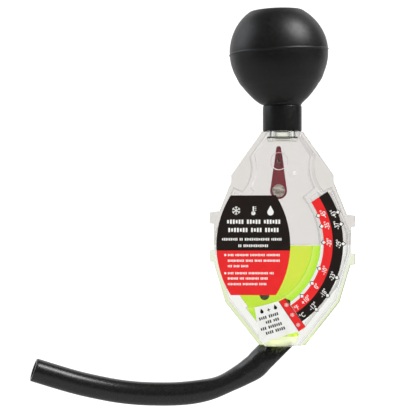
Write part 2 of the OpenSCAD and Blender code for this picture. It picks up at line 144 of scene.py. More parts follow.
def put_in_scene(name: str, data: bpy.types.ID) -> Piece:
    """Make an object of a mesh, a curve, a lamp or a camera.

    Args:
        name: Name of the object.
        data: What it holds.

    Returns:
        The object, in the scene.
    """
    piece = bpy.data.objects.new(name, data)
    bpy.context.scene.collection.objects.link(piece)
    return piece


class Body(Enum):
    """The bodies that pieces of the scene's own move with."""

    CASE = "case"
    BULB = "bulb"
    PLUMB = "plumb"


class Grain(Enum):
    """How many cells of surface relief a metre holds."""

    SATIN = 6500.0
    MOULD = 2200.0
    FLOW = 160.0


class CaseFace(Enum):
    """Kinds of face on a case half, numbered in the order of its materials."""

    PLAIN = 0
    INSIDE = 1
    RAIL = 2
    GLOWING_FOOT = 3
    GATE = 4


class Wiring:
    """A node tree, written in a few short calls."""

    def __init__(self, tree: bpy.types.NodeTree) -> None:
        """Take up the tree of a material or of the world."""
        self.tree = tree

    def add(self, kind: str, **settings: object) -> Node:
        """Add a node.

        Args:
            kind: Blender's name of the node.
            **settings: Values for the node's own fields.

        Returns:
            The new node.
        """
        node = self.tree.nodes.new(kind)
        for field, value in settings.items():
            setattr(node, field, value)
        return node

    def put(self, target: Socket, value: Value) -> None:
        """Link a socket to another one, or set its value.

        Args:
            target: The socket.
            value: Another socket, a plain value or a colour.
        """
        if isinstance(value, bpy.types.NodeSocket):
            self.tree.links.new(value, target)
        else:
            target.default_value = (*value, 1.0) if target.type == "RGBA" else value

    def combine(self, operation: str, first: Value, second: Value, kind: str = "Math") -> Socket:
        """Work out a value from two sockets or values.

        Args:
            operation: Blender's name of what is worked out.
            first: The first one.
            second: The second one.
            kind: Math for values, VectorMath for places.

        Returns:
            The outcome.
        """
        node = self.add(f"ShaderNode{kind}", operation=operation)
        self.put(node.inputs[0], first)
        self.put(node.inputs[1], second)
        return node.outputs["Value"]

    def fade(self, share: Socket, first: Value, second: Value) -> Socket:
        """Go from one value to another.

        Args:
            share: How far to go, from 0 to 1.
            first: Socket or value at 0.
            second: Socket or value at 1.

        Returns:
            The value in between.
        """
        node = self.add("ShaderNodeMix")
        for name, value in (("Factor", share), ("A", first), ("B", second)):
            self.put(node.inputs[name], value)
        return node.outputs["Result"]


class Shader(Wiring):
    """The nodes of a material around its surface shader."""

    def __init__(self, name: str) -> None:
        """Start a material that has only its surface shader.

        Args:
            name: Name of the material.
        """
        self.material = bpy.data.materials.new(name)
        self.material.use_nodes = True
        super().__init__(self.material.node_tree)
        self.surface = self.tree.nodes["Principled BSDF"]
        self.place = self.add("ShaderNodeTexCoord").outputs["Object"]
        self.axes = self.add("ShaderNodeSeparateXYZ")
        self.put(self.axes.inputs[0], self.place)

    def set(self, **values: Value) -> None:
        """Set or link sockets of the surface shader.

        Args:
            **values: Values or sockets, by the socket's name in small letters with _ for spaces.
        """
        names = {socket.name.lower().replace(" ", "_"): socket for socket in self.surface.inputs}
        for name, value in values.items():
            self.put(names[name], value)

    def noise(self, scale: float, detail: float = 3.0, stretch: Place = (1, 1, 1)) -> Socket:
        """Make a cloudy pattern over the piece.

        Args:
            scale: Cells in a metre.
            detail: Octaves of the pattern.
            stretch: Factors along the three axes.

        Returns:
            The pattern, from 0 to 1.
        """
        mapping = self.add("ShaderNodeMapping")
        mapping.inputs["Scale"].default_value = stretch
        self.put(mapping.inputs["Vector"], self.place)
        cloud = self.add("ShaderNodeTexNoise")
        self.put(cloud.inputs["Vector"], mapping.outputs["Vector"])
        cloud.inputs["Scale"].default_value = scale
        cloud.inputs["Detail"].default_value = detail
        return cloud.outputs["Fac"]

    def spread(
        self, share: Socket, low: float, high: float, start: float = 0.3, end: float = 0.7
    ) -> Socket:
        """Spread a pattern over a range of values.

        Args:
            share: The pattern.
            low: Value at the start.
            high: Value at the end.
            start: Where the pattern starts to count.
            end: Where the pattern stops counting.

        Returns:
            The spread pattern.
        """
        node = self.add("ShaderNodeMapRange")
        self.put(node.inputs["Value"], share)
        for name, value in (("From Min", start), ("From Max", end), ("To Min", low), ("To Max", high)):
            node.inputs[name].default_value = value
        return node.outputs["Result"]

    def blend(self, share: Socket, first: Socket | Colour, second: Socket | Colour) -> Socket:
        """Mix two colours by a pattern.

        Args:
            share: The pattern.
            first: Socket or colour where the pattern is 0.
            second: Socket or colour where the pattern is 1.

        Returns:
            The mixed colour.
        """
        node = self.add("ShaderNodeMix", data_type="RGBA")
        self.put(node.inputs["Factor"], share)
        for target, colour in zip((i for i in node.inputs if i.type == "RGBA"), (first, second)):
            self.put(target, colour)
        return next(socket for socket in node.outputs if socket.type == "RGBA")

    def relief(self, height: Socket, depth: float, strength: float) -> None:
        """Raise the surface by a pattern.

        Args:
            height: The pattern.
            depth: Height of the relief in metres.
            strength: Share of the relief that shows.
        """
        bump = self.add("ShaderNodeBump")
        bump.inputs["Distance"].default_value = depth
        bump.inputs["Strength"].default_value = strength
        self.put(bump.inputs["Height"], height)
        self.set(normal=bump.outputs["Normal"])


@dataclass(frozen=True)
class Finish:
    """What a surface looks like: mottled colour, gloss and fine relief."""

    name: str
    slot: str
    colour: Colour
    shade: Colour
    gloss: Span = (0.38, 0.5)
    grain: Grain = Grain.MOULD
    depth: float = 0.00002
    strength: float = 0.3
    metallic: float = 0.0
    specular: float = 0.5
    streaks: Place = (1, 1, 1)
    # Painted light: a surface with glow gives off its own colour as light, though it is no lamp.
    glow: float = 0.0
    mottle: float = 12.0

    def paint(self, shader: Shader) -> None:
        """Set up the shader's colour, gloss and relief.

        Args:
            shader: The material's nodes.
        """
        cloud = shader.noise(self.grain.value / self.mottle, 4, self.streaks)
        fine = shader.noise(self.grain.value, 2)
        shader.set(
            base_color=shader.blend(shader.spread(cloud, 0, 1), self.colour, self.shade),
            roughness=shader.spread(cloud, *self.gloss),
            metallic=self.metallic,
            specular_ior_level=self.specular,
            emission_color=self.colour,
            emission_strength=self.glow,
        )
        shader.relief(fine, self.depth, self.strength)


@dataclass(frozen=True)
class Film(Finish):
    """Smooth printed film."""

    gloss: Span = (0.4, 0.5)
    depth: float = 0.000005
    specular: float = 0.15


@dataclass(frozen=True)
class Clear(Finish):
    """See-through moulded plastic with faint flow marks."""

    grain: Grain = Grain.FLOW
    depth: float = 0.0004
    strength: float = 0.06
    ior: float = 1.46
    flow_stretch: Place = (1, 1, 0.4)

    def tint(self, shader: Shader, flow: Socket) -> Socket:
        """Mix the two tints by the flow marks.

        Args:
            shader: The material's nodes.
            flow: The flow marks.

        Returns:
            The tint.
        """
        return shader.blend(shader.spread(flow, 0, 1), self.colour, self.shade)

    def paint(self, shader: Shader) -> None:
        """Set up clear plastic whose tint and gloss vary a little.

        Args:
            shader: The material's nodes.
        """
        flow = shader.noise(self.grain.value, 3, self.flow_stretch)
        shader.set(
            base_color=self.tint(shader, flow),
            roughness=shader.spread(flow, *self.gloss),
            transmission_weight=1.0,
            ior=self.ior,
        )
        shader.relief(flow, self.depth, self.strength)


@dataclass(frozen=True)
class EdgeLit(Clear):
    """Clear plastic that has another tint lower down, where the coolant stands behind it."""

    heights: Span = (-0.086, -0.128)
    sway: float = 0.006

    def tint(self, shader: Shader, flow: Socket) -> Socket:
        """Mix the two tints by height, unsettled a little by the flow marks.

        Args:
            shader: The material's nodes.
            flow: The flow marks.

        Returns:
            The tint.
        """
        height = shader.combine("ADD", shader.axes.outputs["Z"], shader.spread(flow, -self.sway, self.sway))
        return shader.blend(shader.spread(height, 0, 1, *self.heights), self.colour, self.shade)


@dataclass(frozen=True)
class Liquid(Finish):
    """Dyed coolant that is greener where it meets the round wall."""

    # Low, so that what stands in the coolant shows through it plainly.
    ior: float = 1.14
    centre: Place = (0, 0, 0)
    rim: Span = (0.0305, 0.0352)
    funnel: Span = (0.037, 0.045)
    funnel_share: float = 0.35
    depths: Span = (-0.113, -0.123)
    deep_share: float = 0.25
    # Colour of the faint glow that the coolant gives off, though it is no lamp: painted light.
    glow_colour: Colour = screen(150, 205, 0)

    def paint(self, shader: Shader) -> None:
        """Set up a clear liquid, greener far from the dial's centre and deep down, with a faint painted
        glow.

        Args:
            shader: The material's nodes.
        """
        flat = shader.add("ShaderNodeVectorMath", operation="MULTIPLY")
        shader.put(flat.inputs[0], shader.place)
        shader.put(flat.inputs[1], (1, 0, 1))
        centre = (self.centre[0], 0, self.centre[2])
        far = shader.combine("DISTANCE", flat.outputs["Vector"], centre, "VectorMath")
        edge = shader.combine("MULTIPLY", shader.spread(far, 0, 1, *self.rim),
                              shader.spread(far, 1, self.funnel_share, *self.funnel))
        deep = shader.spread(shader.axes.outputs["Z"], 0, self.deep_share, *self.depths)
        cloud = shader.noise(self.grain.value, 2)
        shader.set(
            base_color=shader.blend(shader.combine("MAXIMUM", edge, deep), self.colour, self.shade),
            roughness=shader.spread(cloud, *self.gloss),
            transmission_weight=1.0,
            ior=self.ior,
            emission_color=self.glow_colour,
            emission_strength=self.glow,
        )


RUBBER = Finish(
    "bulb_rubber", "bulb_rubber", screen(14, 14, 13), screen(20, 20, 19), (0.36, 0.46), Grain.SATIN,
)
HOSE_RUBBER = Finish(
    "hose_rubber", "hose_rubber", screen(19, 19, 18), screen(25, 25, 24), (0.25, 0.3), Grain.SATIN,
    strength=0.1, specular=0.8,
)
SEAL_RUBBER = Finish("seal_rubber", "seal_rubber", screen(32, 30, 28), screen(44, 42, 38), (0.5, 0.65))
# Painted light: the pale seal glows a little, though it is no lamp.
GLOWING_PALE_RUBBER = Finish(
    "pale_rubber", "pale_rubber", screen(228, 230, 208), screen(214, 216, 190), (0.5, 0.6), glow=0.3,
)
CLEAR = Clear("clear_plastic", "clear_plastic", screen(252, 252, 251), screen(250, 251, 249), (0.01, 0.05))
HAZE = EdgeLit(
    "clear_plastic_inside", "clear_plastic", screen(231, 227, 225), screen(251, 251, 248), (0.01, 0.05),
    heights=(-0.0962, -0.0966), sway=0.0,
)
SPIGOT = Clear(
    "clear_plastic_spigot", "clear_plastic", screen(250, 251, 246), screen(246, 248, 240), (0.02, 0.08),
    ior=1.2,
)
# Painted light: the rails are tinted green low down, for the coolant's colour that shows through them by
# refraction.
RAIL = EdgeLit(
    "clear_plastic_rim", "clear_plastic", screen(250, 251, 248), screen(233, 243, 202), (0.02, 0.08),
)
# Pale finish for the nipple and the case faces round it and low in the foot. The pale colour is partly the
# milky nipple's own; the glow is painted light, standing in for the light and glint that the clear foot
# shows.
GLOWING_SPOUT = Finish(
    "clear_plastic_spout", "clear_plastic", screen(238, 241, 206), screen(230, 236, 188), (0.3, 0.4),
    Grain.FLOW, specular=0.3, glow=0.55,
)
# Painted highlight: a pale glowing finish for the thin ring that stands for the bright edge of the boss.
RIM_HIGHLIGHT = Finish(
    "clear_plastic_ring", "clear_plastic", screen(240, 224, 226), screen(232, 214, 216), (0.2, 0.3),
    glow=0.6,
)
# Painted glint: the gate mark on the front face is pale, opaque and glows a little, for the light it
# catches.
GATE = Finish(
    "clear_plastic_gate", "clear_plastic", screen(232, 230, 227), screen(226, 223, 220), (0.2, 0.3),
    glow=0.1,
)
MAROON = Finish(
    "maroon_plastic", "maroon_plastic", screen(148, 27, 43), screen(158, 36, 50), (0.3, 0.42), specular=0.2,
)
# Painted shade: a darker copy of the maroon plastic for the pointer, which stands in the coolant.
SHADED_POINTER = Finish(
    "maroon_plastic_dark", "maroon_plastic", screen(74, 22, 20), screen(66, 20, 18), (0.3, 0.42),
    specular=0.2,
)
SLUG = Finish(
    "grey_metal", "grey_metal", screen(253, 244, 235), screen(150, 140, 130), (0.4, 0.6), Grain.SATIN,
    depth=0.0001, strength=0.5, metallic=0.2, specular=0.3, streaks=(0.6, 1, 1.6),
)
# Painted light: the pins are a pale pinkish grey and glow a little, which lifts the shade in the holes they
# sit in.
GLOWING_PIN_STEEL = Finish(
    "pin_steel", "pin_steel", screen(140, 96, 98), screen(120, 80, 82), (0.22, 0.35),
    metallic=0.1, glow=0.2,
)
BLACK_FILM = Film("black_film", "black_film", screen(33, 26, 23), screen(38, 31, 27), (0.42, 0.5))
RED_FILM = Film("red_film", "red_film", screen(240, 44, 44), screen(233, 40, 42))
WHITE_FILM = Film("white_film", "white_film", screen(246, 246, 243), screen(238, 238, 234), specular=0.2)
EDGE_FILM = Film("dark_red_film", "red_film", screen(150, 30, 30), screen(140, 26, 28))
# The coolant's faint glow is painted light.
COOLANT = Liquid(
    "coolant", "coolant", screen(238, 246, 132), screen(188, 244, 34), (0.0, 0.03), Grain.FLOW,
    glow=0.02, centre=tuple(joint_place("pointer_swing")),
)
# Painted highlight: the pale line at the coolant's level glows a little.
MENISCUS_HIGHLIGHT = Finish(
    "coolant_surface", "coolant", screen(246, 250, 226), screen(238, 246, 208), (0.1, 0.2), Grain.FLOW,
    glow=0.25,
)


@lru_cache(maxsize=None)
def material_of(finish: Finish) -> bpy.types.Material:
    """Make a finish's material once.

    Args:
        finish: The finish.

    Returns:
        Its material.
    """
    shader = Shader(finish.name)
    finish.paint(shader)
    return shader.material


def make_piece(
    name: str, mesh: bpy.types.Mesh, finish: Finish, body: Body, replaced: Sequence[str] = ()
) -> Piece:
    """Put a finished mesh into the scene.

    Args:
        name: Name of the piece.
        mesh: Its mesh, in place.
        finish: What it looks like.
        body: What it moves with.
        replaced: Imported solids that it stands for.

    Returns:
        The piece.
    """
    piece = put_in_scene(name, mesh)
    mesh.materials.append(material_of(finish))
    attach(piece, body.value)
    if replaced:
        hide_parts(*replaced)
    log.info("%s: %d faces, moves with the %s", name, len(mesh.polygons), body.value)
    return piece


def dress(node: str, finish: Finish, rounding: float = 0.0) -> None:
    """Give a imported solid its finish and, where asked, soft edges.

    Args:
        node: Name of the solid.
        finish: What it looks like.
        rounding: Radius of its edges.
    """
    piece = frame["nodes"][node]
    piece.data.materials.clear()
    piece.data.materials.append(material_of(finish))
    if rounding:
        weld = piece.modifiers.new("joined", "WELD")
        weld.merge_threshold = WELD
        soften(piece, rounding)
    log.info("%s: finish %s", node, finish.name)


def soften(piece: Piece, rounding: float) -> None:
    """Round a piece's edges and keep its flat faces flat.

    Args:
        piece: The piece.
        rounding: Radius of its edges.
    """
    bevel = piece.modifiers.new("soft_edges", "BEVEL")
    bevel.width = rounding
    bevel.segments = 2
    bevel.limit_method = "ANGLE"
    bevel.angle_limit = SHARP_ANGLE
    normals = piece.modifiers.new("flat_faces", "WEIGHTED_NORMAL")
    normals.keep_sharp = True


def skin(name: str, rings: Sequence[Sequence[Vector]], loop: bool = False) -> bpy.types.Mesh:
    """Join rings of points into a smooth closed skin.

    Args:
        name: Name of the mesh.
        rings: Rings of equal count, in order.
        loop: Joins the last ring to the first, where the ends aren't closed.

    Returns:
        The mesh.
    """
    bm = bmesh.new()
    rows = [[bm.verts.new(point) for point in ring] for ring in rings]
    count = len(rings[0])
    pairs = list(zip(rows, rows[1:] + rows[:1])) if loop else list(zip(rows, rows[1:]))
    for near, far in pairs:
        for i in range(count):
            j = (i + 1) % count
            bm.faces.new((near[i], near[j], far[j], far[i]))
    if not loop:
        bm.faces.new(rows[0][::-1])
        bm.faces.new(rows[-1])
    bmesh.ops.recalc_face_normals(bm, faces=bm.faces)
    for face in bm.faces:
        face.smooth = True
    return finished_mesh(bm, name)


class Ink:
    """Thin printed shapes that lie on a label and become one piece."""

    def __init__(self, name: str, finish: Finish, back: float, depth: float = INK_DEPTH) -> None:
        """Start an empty print.

        Args:
            name: Name of the piece.
            finish: The ink's finish.
            back: Depth at which the print lies, as a Y value.
            depth: Thickness of the print.
        """
        self.name = name
        self.finish = finish
        self.back = back
        self.front = back - depth
        self.bm = bmesh.new()

    def fill(self, outline: Sequence[Spot]) -> None:
        """Print a filled shape.

        Args:
            outline: X and Z of its corners, in order.
        """
        front = [self.bm.verts.new((x, self.front, z)) for x, z in outline]
        back = [self.bm.verts.new((x, self.back, z)) for x, z in outline]
        self.bm.faces.new(front)
        self.bm.faces.new(back[::-1])
        for i in range(len(outline)):
            j = (i + 1) % len(outline)
            self.bm.faces.new((front[j], front[i], back[i], back[j]))

    def bar(self, centre: Spot, length: float, height: float, degrees: float = 0.0) -> None:
        """Print a bar.

        Args:
            centre: X and Z of its middle.
            length: Its length.
            height: Its height.
            degrees: Its turn.
        """
        turn = Matrix.Rotation(math.radians(degrees), 2)
        corners = ((-1, -1), (1, -1), (1, 1), (-1, 1))
        steps = [turn @ Vector((i * length / 2, j * height / 2)) for i, j in corners]
        self.fill([tuple(Vector(centre) + step) for step in steps])

    def words(
        self, text: str, centre: Spot, size: float, degrees: float,
        narrow: float = 0.78, bold: float = 0.012,
    ) -> None:
        """Print a number or a unit.

        Args:
            text: What is printed.
            centre: X and Z of its middle.
            size: Height of the type.
            degrees: Its turn.
            narrow: Width of the type against its plain width.
            bold: Growth of its strokes against its height.
        """
        curve = bpy.data.curves.new("type", "FONT")
        curve.body = text
        curve.size = size
        curve.align_x = "CENTER"
        curve.align_y = "CENTER"
        curve.extrude = (self.back - self.front) / 2
        curve.offset = size * bold
        holder = put_in_scene("type", curve)
        mesh = bpy.data.meshes.new_from_object(holder.evaluated_get(bpy.context.evaluated_depsgraph_get()))
        middle = Vector((centre[0], (self.front + self.back) / 2, centre[1]))
        mesh.transform(Matrix.Translation(middle) @ Matrix.Rotation(-math.radians(degrees), 4, "Y")
                       @ Matrix.Rotation(math.pi / 2, 4, "X") @ Matrix.Diagonal((narrow, 1, 1, 1)))
        self.bm.from_mesh(mesh)
        bpy.data.objects.remove(holder)
        bpy.data.curves.remove(curve)
        bpy.data.meshes.remove(mesh)

    def build(self) -> None:
        """Make the print one piece that moves with the case."""
        bmesh.ops.recalc_face_normals(self.bm, faces=self.bm.faces)
        make_piece(self.name, finished_mesh(self.bm, self.name), self.finish, Body.CASE)


@dataclass
class SqueezeBulb:
    """The hollow rubber bulb with its crown, moulding seam and cuff."""

    radius: float = 0.0247
    wall: float = 0.0022
    crown_z: float = 0.02095
    crown_rise: float = 0.00115
    crown_round: float = 0.0005
    crown_eye: float = 0.0002
    crown_steps: int = 12
    edge_steps: int = 8
    side_step: float = 2.2
    taper: float = 42.0
    lean: float = 3.7
    lean_start: float = 0.0005
    lean_span: float = 0.002
    tilt: float = 3.7
    crown_level: float = 1.5
    seam_height: float = 0.0003
    seam_width: float = 0.00034
    seam_wave: float = 0.00022
    seam_waves: tuple[tuple[float, float, float], ...] = ((2, 0.8, 1.0), (5, 2.0, 0.5))
    seam_reach: float = 0.004
    seam_zone: float = 3.5
    seam_step: float = 0.2
    seam_rings: int = 16
    waist_radius: float = 0.00962
    waist_rise: float = 0.0003
    groove: Spot = (0.00012, 0.0001)
    cone_swell: float = 0.0006
    cone_steps: int = 12
    belly: float = 0.0006
    belly_span: Span = (-0.010, -0.022)
    cuff_radius: float = 0.00975
    cuff_top: float = -0.026457
    cuff_drop: float = 0.0002
    cuff_round: float = 0.0008
    shoulder_turns: tuple[float, ...] = (75, 55, 35, 15, 0)
    rim_turns: tuple[float, ...] = (0, -20, -40, -60, -80, -90)
    bore_radius: float = 0.00675
    travel: float = 0.014
    turns: int = 144

    def dome(self, radius: float, crown_z: float) -> list[Spot]:
        """Draw the crown and the round side down to the cone.

        Args:
            radius: Radius of the round side.
            crown_z: Height of the crown's edge.

        Returns:
            Radius and height of the points, from the top down.
        """
        start = math.degrees(math.asin(crown_z / radius))
        edge = (math.sqrt(radius ** 2 - crown_z ** 2), crown_z)
        shoulder = math.degrees(self.crown_round / radius)
        flat = edge[0] - self.crown_round
        points = []
        for i in range(self.crown_steps + 1):
            r = self.crown_eye + (flat - self.crown_eye) * i / self.crown_steps
            points.append((r, crown_z + self.crown_rise * (1 - (r / edge[0]) ** 2)))
        first, last = points[-1], polar((0, 0), radius, start - shoulder)
        for i in range(1, self.edge_steps):
            t = i / self.edge_steps
            points.append(tuple(
                (1 - t) ** 2 * first[k] + 2 * t * (1 - t) * edge[k] + t * t * last[k] for k in range(2)
            ))
        count = math.ceil((start - shoulder + self.taper) / self.side_step)
        coarse = [start - shoulder - i * self.side_step for i in range(count)]
        fine = [i * self.seam_step for i in range(-self.seam_rings, self.seam_rings + 1)]
        angles = [a for a in coarse if abs(a) > self.seam_zone] + fine + [-self.taper]
        points += [polar((0, 0), radius, a) for a in sorted(angles, reverse=True)]
        return points

    def fuller(self, spot: Spot) -> Spot:
        """Swell a point of the outline a little where it is under the seam.

        Args:
            spot: Radius and height.

        Returns:
            The swollen point.
        """
        top, end = self.belly_span
        share = min(1.0, max(0.0, (spot[1] - top) / (end - top)))
        return spot[0] + self.belly * math.sin(math.pi * share) ** 2, spot[1]

    def outer(self, low: float) -> list[Spot]:
        """Draw the outside from the crown to the cuff's rim.

        Args:
            low: Height of the cuff's rim.

        Returns:
            Radius and height of the points.
        """
        points = [(r + self.seam_height * math.exp(-((z / self.seam_width) ** 2)), z)
                  for r, z in self.dome(self.radius, self.crown_z)]
        foot = points[-1]
        waist = (self.waist_radius, self.cuff_top + self.waist_rise)
        for i in range(1, self.cone_steps):
            share = i / self.cone_steps
            swell = self.cone_swell * math.sin(math.pi * share)
            points.append((foot[0] + (waist[0] - foot[0]) * share + swell,
                           foot[1] + (waist[1] - foot[1]) * share - swell))
        points = [self.fuller(spot) for spot in points]
        points += [waist, (self.waist_radius - self.groove[0], self.cuff_top - self.groove[1])]
        shoulder = (self.cuff_radius - self.cuff_round, self.cuff_top - self.cuff_drop - self.cuff_round)
        points += [polar(shoulder, self.cuff_round, turn) for turn in self.shoulder_turns]
        rim = (self.cuff_radius - self.cuff_round, low + self.cuff_round)
        points += [polar(rim, self.cuff_round, turn) for turn in self.rim_turns]
        return points

    def inner(self, low: float) -> list[Spot]:
        """Draw the inside from the cuff's rim up to the crown.

        Args:
            low: Height of the cuff's rim.

        Returns:
            Radius and height of the points.
        """
        dome = self.dome(self.radius - self.wall, self.crown_z - self.wall)
        return [(self.bore_radius, low), (self.bore_radius, self.cuff_top)] + dome[::-1]

    def ring(self, spot: Spot) -> list[Vector]:
        """Turn a point of the outline into a ring that leans with the bulb.

        Args:
            spot: Radius and height.

        Returns:
            The ring's points.
        """
        near_seam = math.exp(-((spot[1] / self.seam_reach) ** 2))
        share = -ease((spot[1] - self.cuff_top + self.lean_start) / self.lean_span)
        pivot = Vector((0, 0, self.cuff_top))
        lean = Matrix.Rotation(math.radians(self.lean) * share, 3, "Y")
        level = self.crown_level * ease(spot[1] / self.crown_z)
        tilt = Matrix.Rotation(math.radians(self.tilt - level) * share, 3, "Y")
        middle = pivot + lean @ Vector((0, 0, spot[1] - self.cuff_top))
        points = []
        for a in round_turns(self.turns):
            wave = sum(part * math.sin(count * a + phase) for count, phase, part in self.seam_waves)
            height = self.seam_wave * wave * near_seam
            points.append(middle + tilt @ Vector((spot[0] * math.cos(a), spot[0] * math.sin(a), height)))
        return points

    def build(self) -> None:
        """Make the bulb."""
        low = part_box("squeeze_bulb")[0].z
        rings = [self.ring(spot) for spot in self.outer(low) + self.inner(low)]
        bulb = make_piece("rubber_bulb", skin("rubber_bulb", rings), RUBBER, Body.BULB, ["squeeze_bulb"])
        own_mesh(bulb)


@dataclass
class DipHose:
    """The rubber hose that is pushed over the slanted nipple."""

    outlet_x: float = -0.003
    lean: float = 45.0
    nipple_out: float = 0.015
    nipple_radius: float = 0.00452
    radius: float = 0.00585
    bore: float = 0.0041
    lip: float = 0.0006
    lip_turns: tuple[float, ...] = (0, 30, 60, 90)
    bore_turns: tuple[float, ...] = (90, 135, 180)
    past_nipple: float = 0.001
    flare_end: float = 0.008
    flare_span: float = 0.007
    mitre_rings: int = 3
    pinch: float = 0.15
    pinch_at: float = 0.033
    pinch_width: float = 0.009
    sides: int = 48
    cuts: int = 8
    steps: tuple[Place, ...] = (
        (-0.020, 0, -0.0166), (-0.030, 0, -0.0213), (-0.040, 0, -0.0236), (-0.050, 0, -0.0246),
        (-0.060, 0, -0.0247), (-0.070, 0, -0.0243), (-0.080, -0.0005, -0.0231), (-0.090, -0.0015, -0.0211),
        (-0.100, -0.003, -0.0186), (-0.1105, -0.005, -0.0153), (-0.121, -0.007, -0.0118),
    )

    def outlet(self) -> Vector:
        """Give the foot point of the nipple's axis."""
        return Vector((self.outlet_x, 0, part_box("front_shell")[0].z))

    def away(self) -> Vector:
        """Give the direction in which the hose leaves."""
        return Vector((-math.sin(math.radians(self.lean)), 0, -math.cos(math.radians(self.lean))))

    def path(self) -> list[Vector]:
        """Run a smooth curve through the route's points.

        Returns:
            The hose's centreline, from the foot to the free end.
        """
        out, way = self.outlet(), self.away()
        quarters = [out + way * self.nipple_out * i / 4 for i in range(4)]
        route = quarters[2:] + [out + way * (self.nipple_out + self.past_nipple)]
        route += [out + Vector(step) for step in self.steps]
        route.append(2 * route[-1] - route[-2])
        points = quarters[:3]
        # Each stretch runs from b to c. It starts in line with a and c, and ends in line with b and d.
        for a, b, c, d in zip(route, route[1:], route[2:], route[3:]):
            for k in range(self.cuts):
                t = k / self.cuts
                points.append((2 * b + (c - a) * t + (2 * a - 5 * b + 4 * c - d) * t * t
                               + (3 * b - a - 3 * c + d) * t ** 3) / 2)
        return points + [route[-2]]

    def ring(self, point: Vector, ahead: Vector, radius: float, shift: float = 0.0) -> list[Vector]:
        """Draw one ring of the tube.

        Args:
            point: The ring's centre.
            ahead: Direction of the tube there.
            radius: The ring's radius where the nipple doesn't widen it.
            shift: Distance by which the ring moves ahead.

        Returns:
            The ring's points.
        """
        side = ahead.cross(Vector((0, 1, 0))).normalized()
        up = side.cross(ahead)
        away = (point - self.outlet()).length
        flare = ease((self.nipple_out + self.flare_end - away) / self.flare_span)
        size = radius + (self.nipple_radius - self.bore) * flare
        flat = self.pinch * math.exp(-(((away - self.pinch_at) / self.pinch_width) ** 2))
        points = []
        for a in round_turns(self.sides):
            across = math.cos(a) * (1 - flat) * side + math.sin(a) * (1 + flat / 2) * up
            points.append(point + ahead * shift + size * across)
        return points

    def mitred(self, ring: Sequence[Vector]) -> list[Vector]:
        """Slide the first ring's points along the nipple onto the foot of the case."""
        out, way = self.outlet(), self.away()
        return [point + way * (out.z - point.z) / way.z for point in ring]

    def build(self) -> None:
        """Make the hose with its bore and its cut end."""
        path = self.path()
        last = len(path) - 1
        ways = [(path[min(i + 1, last)] - path[max(i - 1, 0)]).normalized() for i in range(last + 1)]
        sides = []
        for radius in (self.radius, self.bore):
            rings = [self.ring(path[i], ways[i], radius) for i in range(last)]
            sides.append([self.mitred(rings[0])] + rings[self.mitre_rings:])
        spots = [polar((self.radius - self.lip, -self.lip), self.lip, turn) for turn in self.lip_turns]
        round_in = self.lip / 2
        spots += [polar((self.bore + round_in, -round_in), round_in, turn) for turn in self.bore_turns]
        lip = [self.ring(path[last], ways[last], across, along) for across, along in spots]
        rings = sides[0] + lip + sides[1][::-1]
        hose = make_piece("dip_hose", skin("dip_hose", rings, loop=True), HOSE_RUBBER, Body.CASE, ["hose"])


